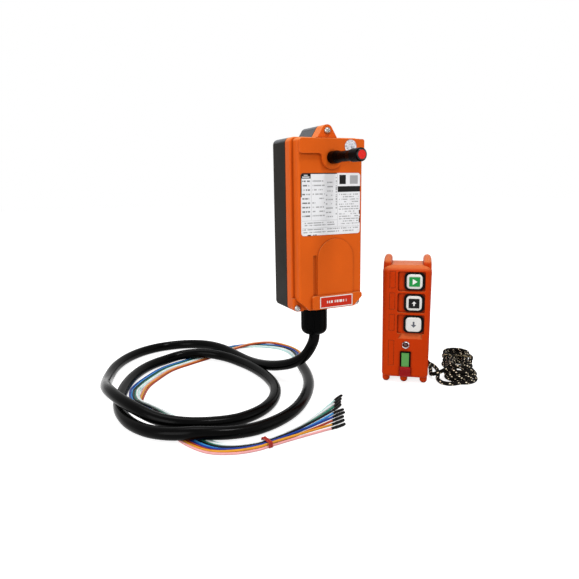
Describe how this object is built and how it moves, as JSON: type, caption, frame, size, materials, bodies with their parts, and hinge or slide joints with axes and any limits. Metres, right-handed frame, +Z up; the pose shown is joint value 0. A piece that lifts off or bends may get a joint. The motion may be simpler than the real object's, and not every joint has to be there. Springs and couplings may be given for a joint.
{
  "type": "crane radio remote control",
  "caption": "Orange crane radio control: cable-tailed wall receiver with stub antenna, and a slim hand transmitter with push buttons, slide key and lanyard.",
  "frame": {"origin": "middle of the receiver's flat back face, where it meets the wall", "axes": "+Z up along the receiver, -Y out of its front, +X to its right"},
  "size_m": [0.457, 0.3592, 0.302],
  "materials": {
    "shell_plastic": "fine matt grain",
    "orange_plastic": "fine matt grain",
    "deep_orange_plastic": "satin",
    "black_plastic": "satin",
    "black_rubber": "satin",
    "bright_steel": "plated",
    "brass": "turned",
    "label_film": "printed film",
    "red_film": "printed film",
    "silver_film": "metallised film",
    "green_film": "printed film",
    "black_film": "printed film",
    "red_plastic": "gloss",
    "board": "lacquered",
    "blue_plastic": "gloss",
    "green_plastic": "satin",
    "fuse_glass": "clear",
    "grey_metal": "sheet",
    "core_plastic": "satin, several colours",
    "tie_plastic": "satin",
    "tie_black": "satin",
    "battery_metal": "gloss sleeve",
    "white_plastic": "satin",
    "chrome": "polished",
    "dark_red_plastic": "clear",
    "key_green_plastic": "satin",
    "key_red_plastic": "satin",
    "rope": "braided"
  },
  "bodies": {
    "receiver": {"back_shell": "shell_plastic", "wall_inserts": "brass", "cover_gasket": "black_rubber", "cover": "orange_plastic", "cover_screws": "bright_steel", "rating_label": "label_film", "voltage_label": "red_film", "seal_sticker": "silver_film", "antenna_nut": "bright_steel", "antenna": "black_plastic", "antenna_cap": "red_plastic", "receiver_board": "board", "receiver_board_screws": "bright_steel", "relays": "blue_plastic", "power_module": "black_plastic", "terminal_block": "green_plastic", "fuse_holder": "black_plastic", "fuse": "fuse_glass", "capacitors": "black_plastic", "decoder_module": "grey_metal", "gland_body": "black_plastic", "gland_locknut": "black_plastic", "gland_seal": "black_rubber", "gland_nut": "black_plastic", "cable_tails": "core_plastic", "control_cable": "black_rubber", "core_bundle": "core_plastic", "core_tie": "tie_plastic", "core_ends": "core_plastic", "core_sleeves": "black_rubber"},
    "transmitter": {"rear_case": "deep_orange_plastic", "case_gasket": "black_rubber", "front_case": "deep_orange_plastic", "case_screws": "bright_steel", "battery_door": "deep_orange_plastic", "door_screw": "bright_steel", "batteries": "battery_metal", "battery_springs": "bright_steel", "transmitter_board": "board", "radio_module": "grey_metal", "push_switches": "black_plastic", "button_pads": "black_rubber", "led_ring": "chrome", "led_lens": "dark_red_plastic", "key_guide": "black_plastic", "key_switch": "black_plastic", "lanyard": "rope", "lanyard_hank": "rope", "lanyard_tie": "tie_black"},
    "start_button": {"start_button": "white_plastic", "start_legend": "green_film"},
    "up_button": {"up_button": "white_plastic", "up_legend": "black_film"},
    "down_button": {"down_button": "white_plastic"},
    "power_key": {"key_tongue": "key_green_plastic", "key_grip": "key_red_plastic"}
  },
  "joints": [
    {"name": "transmitter_lift", "type": "slide", "parent": "receiver", "child": "transmitter", "axis": [0, 0, 1], "range_m": [0, 0.12]},
    {"name": "start_button_press", "type": "slide", "parent": "transmitter", "child": "start_button", "axis": [0.6157, 0.788, 0], "range_m": [0, 0.002], "stiffness_N_per_m": 600, "springref_m": -0.003},
    {"name": "up_button_press", "type": "slide", "parent": "transmitter", "child": "up_button", "axis": [0.6157, 0.788, 0], "range_m": [0, 0.002], "stiffness_N_per_m": 600, "springref_m": -0.003},
    {"name": "down_button_press", "type": "slide", "parent": "transmitter", "child": "down_button", "axis": [0.6157, 0.788, 0], "range_m": [0, 0.002], "stiffness_N_per_m": 600, "springref_m": -0.003},
    {"name": "power_key_slide", "type": "slide", "parent": "transmitter", "child": "power_key", "axis": [0, 0, -1], "range_m": [0, 0.008]}
  ]
}
